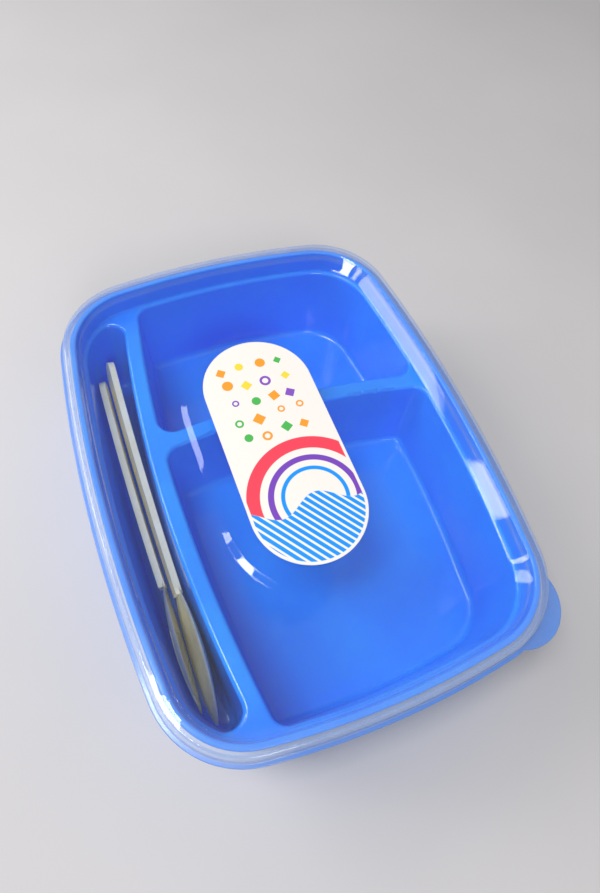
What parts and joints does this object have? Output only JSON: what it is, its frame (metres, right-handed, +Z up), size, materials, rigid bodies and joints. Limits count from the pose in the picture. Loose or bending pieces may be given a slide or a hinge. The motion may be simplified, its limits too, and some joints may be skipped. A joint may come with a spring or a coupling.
{
  "type": "lunch box",
  "caption": "Rectangular plastic lunch box with moulded dividers, a clear press-on lid with a thumb tab and an oval label, and a spoon and fork standing in a narrow side compartment.",
  "frame": {"origin": "under the middle of the box, on the surface that it stands on", "axes": "+Z up, +Y along the length away from the thumb tab's end, +X across towards the food compartments' side"},
  "size_m": [0.16, 0.21, 0.0566],
  "materials": {
    "container_blue": "glossy moulded polypropylene",
    "lid_clear": "clear moulded polypropylene",
    "label_film": "printed film with a soft sheen",
    "cutlery_ivory": "satin moulded plastic"
  },
  "bodies": {
    "container": {"container": "container_blue"},
    "lid": {"lid": "lid_clear", "label": "label_film"},
    "spoon": {"spoon": "cutlery_ivory"},
    "fork": {"fork": "cutlery_ivory"}
  },
  "joints": [
    {"name": "lid_lift", "type": "slide", "parent": "container", "child": "lid", "axis": [0, 0, 1], "range_m": [0, 0.12]},
    {"name": "spoon_lift", "type": "slide", "parent": "container", "child": "spoon", "axis": [0, 0, 1], "range_m": [0, 0.015]},
    {"name": "fork_lift", "type": "slide", "parent": "container", "child": "fork", "axis": [0, 0, 1], "range_m": [0, 0.015]}
  ]
}
